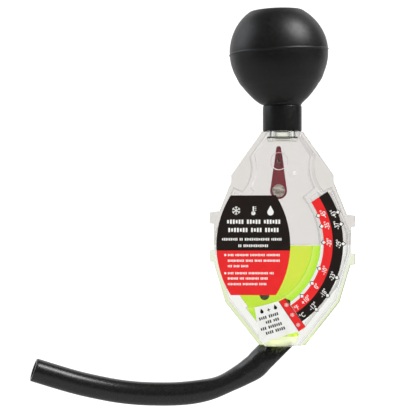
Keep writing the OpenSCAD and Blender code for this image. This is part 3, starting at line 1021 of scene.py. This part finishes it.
@dataclass
class ClearCase:
    """The two clear halves with the spigot, nipple and seals between them."""

    edge: float = 0.00025
    # Clear faces that touch would hold dark patches, so a hair of air parts them.
    parting_gap: float = 0.00003
    label_gap: float = 0.00002
    inner_depths: tuple[float, ...] = (0.0084, 0.0002, 0.0038, 0.00003)
    gate_depth: float = 0.0102
    panel_depth: float = 0.008
    rail_y: float = 0.002
    ring_radius: float = 0.0043
    ring_thick: float = 0.0002
    ring_y: float = -0.0002
    socket_radius: float = 0.0076
    socket_top: float = -0.128
    # Below this height the foot's inner faces take the pale glowing finish, which is painted light; the
    # halves are also cut here.
    glowing_foot_top: float = -0.1418
    same_depth: float = 0.000001
    flat_angle: float = 1.0
    near_inside: float = 0.00005
    near_rail: float = 0.0001
    level: float = 0.99
    ring_turns: int = 96
    ring_sides: int = 10

    def kind(self, facet: bmesh.types.BMFace, outlet: Vector, way: Vector) -> CaseFace:
        """Tell what kind of face of a case half this is.

        Args:
            facet: The face.
            outlet: Foot point of the nipple's axis.
            way: Direction of that axis.

        Returns:
            Its kind.
        """
        middle = facet.calc_center_median()
        depth = abs(middle.y)
        across, up = abs(facet.normal.y), abs(facet.normal.z)
        beside = (middle - outlet).cross(way).length < self.socket_radius and middle.z < self.socket_top
        if depth > self.gate_depth:
            return CaseFace.GATE
        # Faces round the nipple and inner faces low in the foot take the pale glowing finish: painted
        # light.
        if beside and max(across, up) < self.level:
            return CaseFace.GLOWING_FOOT
        if across > self.level and min(abs(depth - y) for y in self.inner_depths) < self.near_inside:
            in_foot = middle.z < self.glowing_foot_top and depth > self.panel_depth
            return CaseFace.GLOWING_FOOT if in_foot else CaseFace.INSIDE
        if across > self.level and abs(depth - self.rail_y) < self.near_rail:
            return CaseFace.RAIL
        return CaseFace.PLAIN

    def half(self, node: str, name: str, side: int) -> None:
        """Make a case half with soft edges and a hair of air at the parting line and under the labels.

        Args:
            node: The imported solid.
            name: Name of the piece.
            side: -1 for the front half and 1 for the rear half.
        """
        bm = bmesh.new()
        bm.from_mesh(frame["nodes"][node].data)
        bmesh.ops.remove_doubles(bm, verts=bm.verts, dist=WELD)
        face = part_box("label_black")[1].y
        for vertex in bm.verts:
            if abs(vertex.co.y) < self.same_depth:
                vertex.co.y = side * self.parting_gap
            elif abs(vertex.co.y - face) < self.same_depth:
                vertex.co.y += self.label_gap
        flat = math.radians(self.flat_angle)
        bmesh.ops.dissolve_limit(bm, angle_limit=flat, verts=bm.verts, edges=bm.edges)
        whole = list(bm.verts) + list(bm.edges) + list(bm.faces)
        bmesh.ops.bisect_plane(bm, geom=whole, plane_co=(0, 0, self.glowing_foot_top), plane_no=(0, 0, 1))
        hose = DipHose()
        outlet, way = hose.outlet(), hose.away()
        for facet in bm.faces:
            facet.smooth = True
            facet.material_index = self.kind(facet, outlet, way).value
        mesh = finished_mesh(bm, name)
        mesh.set_sharp_from_angle(angle=SHARP_ANGLE)
        piece = make_piece(name, mesh, CLEAR, Body.CASE, [node])
        for finish in (HAZE, RAIL, GLOWING_SPOUT, GATE):
            mesh.materials.append(material_of(finish))
        soften(piece, self.edge)

    def boss_ring(self) -> None:
        """Make a thin glowing ring on the rim of the boss in front of the plumb: a painted highlight."""
        pivot = joint_place("plumb_swing")
        rings = []
        sides = round_turns(self.ring_sides)
        for turn in round_turns(self.ring_turns):
            out = Vector((math.cos(turn), 0, math.sin(turn)))
            centre = Vector((pivot.x, self.ring_y, pivot.z)) + out * self.ring_radius
            rings.append([centre + self.ring_thick * (math.cos(a) * out + Vector((0, math.sin(a), 0)))
                          for a in sides])
        make_piece("boss_ring", skin("boss_ring", rings, loop=True), RIM_HIGHLIGHT, Body.CASE)

    def build(self) -> None:
        """Make the case halves and dress what they hold."""
        self.boss_ring()
        self.half("front_shell", "clear_front", -1)
        self.half("rear_shell", "clear_rear", 1)
        dress("neck_spigot", SPIGOT, self.edge)
        dress("hose_nipple", GLOWING_SPOUT, self.edge)
        dress("neck_seal", SEAL_RUBBER)
        dress("nipple_seal", GLOWING_PALE_RUBBER)


@dataclass
class Indicators:
    """The float pointer and the plumb on their pins, and the coolant around them."""

    edge: float = 0.0003
    surface_height: float = 0.0008
    surface_depth: float = 0.00015
    surface_gap: float = 0.0002
    surface_air: float = 0.00002
    slug_rim: float = 0.0006
    slug_dish: float = 0.0004
    slug_knob: float = 0.0012
    slug_knob_top: float = 0.00096
    slug_slope: float = 0.00024
    slug_bevel: float = 0.00018
    slug_crease: float = 0.0001
    slug_turns: int = 64
    slug_sharp: float = 25.0

    def meniscus(self) -> None:
        """Make the pale glowing line where the coolant climbs a little up the front panel: a painted
        highlight.
        """
        low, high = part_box("coolant_sample")
        line = Ink("coolant_edge", MENISCUS_HIGHLIGHT, low.y - self.surface_air, self.surface_depth)
        middle = ((low.x + high.x) / 2, high.z + self.surface_height / 2 - self.surface_gap)
        line.bar(middle, high.x - low.x - 2 * self.surface_gap, self.surface_height)
        line.build()

    def turned_slug(self) -> None:
        """Make the plumb's slug with a raised rim, a dished face and a knob on both ends."""
        low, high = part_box("plumb_slug")
        radius = (high.x - low.x) / 2
        rim = radius - self.slug_rim
        outline = [(self.slug_crease, 0.0), (self.slug_knob_top, 0.0), (self.slug_knob, self.slug_dish),
                   (rim - self.slug_slope, self.slug_dish), (rim, self.slug_crease),
                   (radius - self.slug_bevel, 0.0), (radius, self.slug_bevel)]
        profile = [(r, low.y + step) for r, step in outline]
        profile += [(r, high.y - step) for r, step in outline[::-1]]
        centre = Vector(((low.x + high.x) / 2, 0, (low.z + high.z) / 2))
        turns = round_turns(self.slug_turns)
        rings = [[centre + Vector((r * math.cos(a), y, r * math.sin(a))) for a in turns]
                 for r, y in profile]
        mesh = skin("turned_slug", rings)
        mesh.set_sharp_from_angle(angle=math.radians(self.slug_sharp))
        make_piece("turned_slug", mesh, SLUG, Body.PLUMB, ["plumb_slug"])

    def build(self) -> None:
        """Dress the solids inside the case."""
        dress("pointer_arm", SHADED_POINTER, self.edge)
        dress("plumb_bob", MAROON, self.edge)
        dress("pointer_ballast", SLUG, self.edge)
        self.turned_slug()
        for node in ("pointer_pin", "plumb_pin"):
            dress(node, GLOWING_PIN_STEEL)
        dress("coolant_sample", COOLANT)
        self.meniscus()


@dataclass
class DialScale:
    """The red and black bands with their marks and numbers."""

    red_radius: float = 0.0398
    black_radius: float = 0.0445
    red_edge: float = 0.037
    black_edge: float = 0.0467
    type_size: float = 0.0033
    mark_length: float = 0.003
    mark_width: float = 0.0027
    outline_share: float = 0.8
    unit_turn: float = -53.4
    red_marks: tuple[tuple[str, float], ...] = (
        ("-45°", 21.8), ("-35°", 13.2), ("-20°", 0.8),
        ("-10°", -19.6), ("0°", -32.2), ("+10°", -44.8),
    )
    black_marks: tuple[tuple[str, float], ...] = (
        ("-43°", 19.4), ("-37°", 11.9), ("-29°", -0.2),
        ("-23°", -21.3), ("-18°", -33.5), ("-12°", -44.4),
    )

    def build(self) -> None:
        """Dress the bands and print the numbers and the marks' dark outlines."""
        pivot = joint_place("pointer_swing")
        dial = (pivot.x, pivot.z)
        dress("fahrenheit_band", RED_FILM)
        dress("celsius_band", BLACK_FILM)
        dress("scale_marks", WHITE_FILM)
        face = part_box("celsius_band")
        numbers = Ink("scale_numbers", WHITE_FILM, face[0].y)
        outlines = Ink("mark_outlines", BLACK_FILM, face[1].y, self.outline_share * (face[1].y - face[0].y))
        for marks, radius, edge in ((self.red_marks, self.red_radius, self.red_edge),
                                    (self.black_marks, self.black_radius, self.black_edge)):
            for text, degrees in marks:
                numbers.words(text, polar(dial, radius, degrees), self.type_size, degrees + 90)
                self.diamond(outlines, polar(dial, edge, degrees), degrees)
        for text, radius in (("°F", self.red_radius), ("°C", self.black_radius)):
            numbers.words(text, polar(dial, radius, self.unit_turn), self.type_size, self.unit_turn + 90)
        numbers.build()
        outlines.build()

    def diamond(self, ink: Ink, centre: Spot, degrees: float) -> None:
        """Print the dark diamond under a white mark.

        Args:
            ink: The print.
            centre: X and Z of the mark.
            degrees: The mark's direction.
        """
        sizes = (self.mark_length, self.mark_width) * 2
        ink.fill([polar(centre, size / 2, degrees + 90 * i) for i, size in enumerate(sizes)])


@dataclass
class FrontLabels:
    """The black and red main label and the white mix label with its red strip, printed with plain signs."""

    sign_size: float = 0.0021
    sign_step: float = 0.0085
    sign_z: float = -0.0793
    drop_sink: float = 0.4
    left: float = -0.0274
    rows: tuple[tuple[float, float, float, tuple[int, ...]], ...] = (
        (-0.0278, -0.0848, 0.0021, (6, 5, 6)), (-0.0272, -0.0889, 0.0021, (7, 4, 5)),
        (-0.0303, -0.0935, 0.0013, (9, 2, 14, 6)), (-0.0222, -0.0967, 0.0013, (2, 14)),
    )
    notes: tuple[tuple[float, tuple[int, ...]], ...] = (
        (-0.1013, (4, 9, 10, 9)), (-0.1041, (11, 5, 5, 11)), (-0.1068, (3, 4, 5)),
        (-0.1103, (4, 8, 13, 3)), (-0.1129, (7, 3, 9, 5)), (-0.1157, (9, 10, 5)),
    )
    note_height: float = 0.0011
    bullet: float = 0.0006
    bullet_gap: float = 0.0013
    stroke: float = 0.44
    short_stroke: float = 0.8
    stroke_step: float = 0.68
    group_gap: float = 0.6
    border: tuple[float, float, float] = (0.0006, 0.00017, 0.00035)
    border_share: float = 0.8
    wedge: tuple[Spot, ...] = ((0.0005, 0.00064), (0.0041, 0.00056), (0.0039, 0.001), (0.0023, 0.0018))
    mix_turn: float = 17.0
    mix_top: float = 0.0032
    mix_down: Spot = (0.16, -0.99)
    mix_height: float = 0.0015
    mix_rows: tuple[tuple[float, float, tuple[int, ...]], ...] = (
        (0.0062, 0.0014, (4, 5)), (0.0088, 0.0044, (3, 3)),
        (0.0114, 0.0014, (3, 7)), (0.0140, 0.0036, (4, 5)),
    )
    mix_signs: Spot = (0.0031, 0.0033)
    mix_sign_step: float = 0.0035
    mix_drop: float = 0.0011
    mix_plus: Spot = (0.0016, 0.0004)
    strip_inset: Spot = (0.0036, 0.0031)
    strip_flake: float = 0.001

    def letters(
        self, ink: Ink, start: Spot, height: float, counts: Sequence[int], degrees: float = 0.0
    ) -> None:
        """Print a row of plain strokes in groups.

        Args:
            ink: The print.
            start: X and Z of the row's left end.
            height: Height of the strokes.
            counts: Strokes in each group.
            degrees: Turn of the row.
        """
        along = Vector(polar((0, 0), 1, degrees))
        across = 0.0
        for count in counts:
            for i in range(count):
                # Some strokes are shorter, so that a row looks like type.
                tall = height * (1.0 if (i * 5 + count) % 3 else self.short_stroke)
                spot = Vector(start) + along * (across + height * self.stroke / 2)
                ink.bar(tuple(spot), height * self.stroke, tall, degrees)
                across += height * self.stroke_step
            across += height * self.group_gap

    def drop(self, ink: Ink, centre: Spot, size: float, degrees: float = 0.0) -> None:
        """Print a drop.

        Args:
            ink: The print.
            centre: X and Z of its round part.
            size: Half of its height, about.
            degrees: Its turn.
        """
        belly, tip = size * 0.75, size * 1.6
        outline = [polar(centre, belly, turn + degrees) for turn in range(-210, 31, 15)]
        ink.fill(outline + [polar(centre, tip, 90 + degrees)])

    def flake(self, ink: Ink, centre: Spot, size: float) -> None:
        """Print a snowflake.

        Args:
            ink: The print.
            centre: X and Z of its middle.
            size: Length of an arm.
        """
        arm, fork, slant = size * 0.2, size * 0.62, 50
        twig_reach, twig_length, twig = size * 0.2, size * 0.42, size * 0.16
        for turn in range(30, 210, 60):
            ink.bar(centre, 2 * size, arm, turn)
        for turn in range(30, 390, 60):
            root = polar(centre, fork, turn)
            for way in (turn - slant, turn + slant):
                ink.bar(polar(root, twig_reach, way), twig_length, twig, way)

    def thermometer(self, ink: Ink, centre: Spot, size: float) -> None:
        """Print a thermometer.

        Args:
            ink: The print.
            centre: X and Z of its middle.
            size: Half of its height.
        """
        x, z = centre
        ball, ball_drop = size * 0.5, size * 0.6
        stem, stem_length, stem_rise = size * 0.34, size * 1.5, size * 0.25
        mark, mark_length, first_mark, mark_step = size * 0.14, size * 0.4, size * 0.1, size * 0.38
        ink.fill([polar((x, z - ball_drop), ball, turn) for turn in range(0, 360, 20)])
        ink.bar((x, z + stem_rise), stem, stem_length)
        for i in range(3):
            ink.bar((x + ball, z + first_mark + mark_step * i), mark_length, mark)

    def print_main(self) -> None:
        """Print the main label: three signs, rows of strokes and two notes."""
        low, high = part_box("label_black")
        middle = (low.x + high.x) / 2
        white = Ink("label_print", WHITE_FILM, low.y)
        self.flake(white, (middle - self.sign_step, self.sign_z), self.sign_size)
        self.thermometer(white, (middle, self.sign_z), self.sign_size)
        sunk = self.sign_z - self.sign_size * self.drop_sink
        self.drop(white, (middle + self.sign_step, sunk), self.sign_size)
        for x, z, height, counts in self.rows:
            self.letters(white, (x, z), height, counts)
        for i, (z, counts) in enumerate(self.notes):
            self.letters(white, (self.left, z), self.note_height, counts)
            if i % 3 == 0:
                spot = (self.left - self.bullet_gap, z)
                white.fill([polar(spot, self.bullet, turn) for turn in range(0, 360, 45)])
        white.build()

    def print_mix(self) -> None:
        """Print the mix label: two drops with a plus sign between them, and rows of strokes."""
        low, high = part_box("mix_label")
        dark = Ink("mix_print", BLACK_FILM, low.y)
        corner = Vector((low.x, high.z - self.mix_top))
        along = Vector(polar((0, 0), 1, self.mix_turn))
        down = Vector(self.mix_down)
        for deep, across, counts in self.mix_rows:
            start = tuple(corner + down * deep + along * across)
            self.letters(dark, start, self.mix_height, counts, self.mix_turn)
        first = corner + down * self.mix_signs[0] + along * self.mix_signs[1]
        left, middle, right = (tuple(first + along * self.mix_sign_step * i) for i in range(3))
        self.drop(dark, left, self.mix_drop, self.mix_turn)
        dark.bar(middle, *self.mix_plus, self.mix_turn)
        dark.bar(middle, *self.mix_plus[::-1], self.mix_turn)
        self.drop(dark, right, self.mix_drop, self.mix_turn)
        dark.build()

    def print_strip(self) -> None:
        """Print a row of flakes on the mix label's strip."""
        low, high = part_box("mix_strip")
        white = Ink("strip_print", WHITE_FILM, low.y)
        first = Vector((low.x + self.strip_inset[0], high.z - self.strip_inset[1]))
        last = Vector((high.x - self.strip_inset[0], low.z + self.strip_inset[1]))
        for share in (0.0, 0.5, 1.0):
            self.flake(white, tuple(first.lerp(last, share)), self.strip_flake)
        white.build()

    def print_border(self) -> None:
        """Print the strip's dark edges and the wedge that stands between it and the red band."""
        low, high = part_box("mix_strip")
        mesh = frame["nodes"]["mix_strip"].data
        spots = {(round(v.co.x, 6), round(v.co.z, 6)) for v in mesh.vertices}
        # The strip slants, so its corners come in this order from left to right.
        left_top, right_top, left_foot, right_foot = (Vector(spot) for spot in sorted(spots))
        along = (right_foot - right_top).normalized()
        out = Vector((-along.y, along.x))
        depth = self.border_share * (high.y - low.y)
        wide_top, wide_foot, wide_line = (out * width for width in self.border)
        prints = (
            ("strip_edge", EDGE_FILM, high.y, depth,
             (right_top, right_foot, right_foot + wide_foot, right_top + wide_top)),
            ("strip_line", EDGE_FILM, low.y, INK_DEPTH,
             (left_top, left_foot, left_foot - wide_line, left_top - wide_line)),
            ("strip_wedge", BLACK_FILM, high.y, depth,
             [right_top + along * far + out * aside for far, aside in self.wedge]),
        )
        for name, finish, back, thick, corners in prints:
            ink = Ink(name, finish, back, thick)
            ink.fill([tuple(corner) for corner in corners])
            ink.build()

    def build(self) -> None:
        """Dress the labels and print on them."""
        dress("label_black", BLACK_FILM)
        dress("label_red", RED_FILM)
        dress("mix_label", WHITE_FILM)
        dress("mix_strip", RED_FILM)
        self.print_main()
        self.print_mix()
        self.print_border()
        self.print_strip()


@dataclass(frozen=True)
class Lamp:
    """A soft square lamp that faces the tester."""

    name: str
    place: Place
    size: float
    power: float
    tint: Colour = (1.0, 1.0, 1.0)
    glossy: bool = True
    aim: Place = (0, 0, -0.05)

    def build(self) -> None:
        """Hang the lamp and turn it towards the tester."""
        light = bpy.data.lights.new(self.name, "AREA")
        light.size = self.size
        light.energy = self.power
        light.color = self.tint
        lamp = put_in_scene(self.name, light)
        lamp.location = self.place
        towards = Vector(self.aim) - Vector(self.place)
        lamp.rotation_euler = towards.to_track_quat("-Z", "Y").to_euler()
        lamp.visible_glossy = self.glossy


@dataclass
class Studio:
    """A pale sweep, soft lamps and a camera that stands square to the front."""

    floor_z: float = -0.26
    wall_y: float = 1.2
    bend: float = 0.35
    half_width: float = 1.6
    near_y: float = -1.6
    wall_top: float = 1.8
    lens: float = 135.0
    clip: float = 0.01
    paper: Colour = screen(238, 238, 237)
    paper_cloud: Colour = screen(242, 242, 241)
    paper_grain: float = 30.0
    paper_rough: float = 0.9
    paper_glow: float = 0.5
    paper_gloss: float = 0.45
    wall_gloss: float = 0.9
    wall_reach: Span = (0.4, 1.1)
    front_gloss: float = 0.08
    front_reach: Span = (-0.75, -0.2)
    paper_edge: float = 0.9
    edge_reach: Span = (0.42, 1.0)
    world_light: float = 0.5
    world_gloss: float = 0.1
    camera: Place = (-0.03625, -0.79, -0.079)
    lamps: tuple[Lamp, ...] = (
        Lamp("key_softbox", (0.412, -0.276, 0.49), 0.42, 4.9),
        Lamp("side_strip", (-0.72, 0.12, 0.34), 0.6, 2.2, (0.9, 0.93, 1.0)),
        Lamp("front_fill", (-0.25, -1.1, 0.5), 0.9, 1.2, glossy=False),
    )

    def build(self) -> None:
        """Set up the sweep, the world, the lamps and the camera."""
        bpy.context.scene.view_settings.view_transform = "Standard"
        self.make_sweep()
        self.make_world()
        for lamp in self.lamps:
            lamp.build()
        self.make_camera()

    def make_sweep(self) -> None:
        """Make the pale floor that bends up into the backdrop."""
        bm = bmesh.new()
        line = [(self.near_y, self.floor_z)]
        centre = (self.wall_y - self.bend, self.floor_z + self.bend)
        line += [polar(centre, self.bend, turn) for turn in range(-90, 1, 10)]
        line.append((self.wall_y, self.wall_top))
        rows = [[bm.verts.new((x, y, z)) for y, z in line] for x in (-self.half_width, self.half_width)]
        for i in range(len(line) - 1):
            bm.faces.new((rows[0][i], rows[1][i], rows[1][i + 1], rows[0][i + 1])).smooth = True
        mesh = finished_mesh(bm, "studio_sweep")
        shader = Shader("studio_paper")
        path = shader.add("ShaderNodeLightPath")
        seen = shader.combine("MAXIMUM", path.outputs["Is Transmission Ray"], path.outputs["Is Glossy Ray"])
        paper = shader.blend(shader.noise(self.paper_grain, 2), self.paper, self.paper_cloud)
        shader.set(
            base_color=shader.blend(seen, paper, (0.0, 0.0, 0.0)),
            roughness=self.paper_rough,
            specular_ior_level=0.0,
            emission_color=(1.0, 1.0, 1.0),
            emission_strength=self.glow(shader, path),
        )
        sweep = put_in_scene("studio_sweep", mesh)
        mesh.materials.append(shader.material)

    def glow(self, shader: Shader, path: Node) -> Socket:
        """Make the paper bright right behind the tester and dimmer further out.

        Args:
            shader: The paper's nodes.
            path: The node that tells kinds of rays apart.

        Returns:
            Strength of the paper's own light.
        """
        behind = (self.camera[0], self.wall_y, self.camera[2])
        away = shader.combine("DISTANCE", shader.place, behind, "VectorMath")
        through = shader.spread(away, 1.0, self.paper_edge, *self.edge_reach)
        deep = shader.axes.outputs["Y"]
        floor = shader.spread(deep, self.front_gloss, self.paper_gloss, *self.front_reach)
        wall = shader.spread(deep, 0, self.wall_gloss - self.paper_gloss, *self.wall_reach)
        # What is seen straight, in a reflection and through the case each has its own level.
        level = 0.0
        for flag, strength in (("Is Camera Ray", self.paper_glow),
                               ("Is Glossy Ray", shader.combine("ADD", floor, wall)),
                               ("Is Transmission Ray", through)):
            level = shader.fade(path.outputs[flag], level, strength)
        return level

    def make_world(self) -> None:
        """Set up a white surround that lights the object at a plain level."""
        world = bpy.data.worlds.new("studio_light")
        bpy.context.scene.world = world
        world.use_nodes = True
        wires = Wiring(world.node_tree)
        path = wires.add("ShaderNodeLightPath").outputs
        white = wires.combine("MAXIMUM", path["Is Camera Ray"], path["Is Transmission Ray"])
        plain = wires.fade(path["Is Glossy Ray"], self.world_light, self.world_gloss)
        back = wires.tree.nodes["Background"].inputs
        wires.put(back["Color"], (1.0, 1.0, 1.0))
        wires.put(back["Strength"], wires.fade(white, plain, 1.0))

    def make_camera(self) -> None:
        """Set the camera square to the front face."""
        data = bpy.data.cameras.new("camera")
        data.lens = self.lens
        data.clip_start = self.clip
        camera = put_in_scene("camera", data)
        camera.location = self.camera
        camera.rotation_euler = (math.pi / 2, 0, 0)
        bpy.context.scene.camera = camera


def main() -> None:
    """Build the studio and every sub-assembly."""
    logging.basicConfig(level=logging.INFO, format="%(name)s %(message)s")
    for part in (Studio, DipHose, SqueezeBulb, ClearCase, Indicators, DialScale, FrontLabels):
        part().build()
        log.info("%s built", part.__name__)


if __name__ == "__main__":
    main()
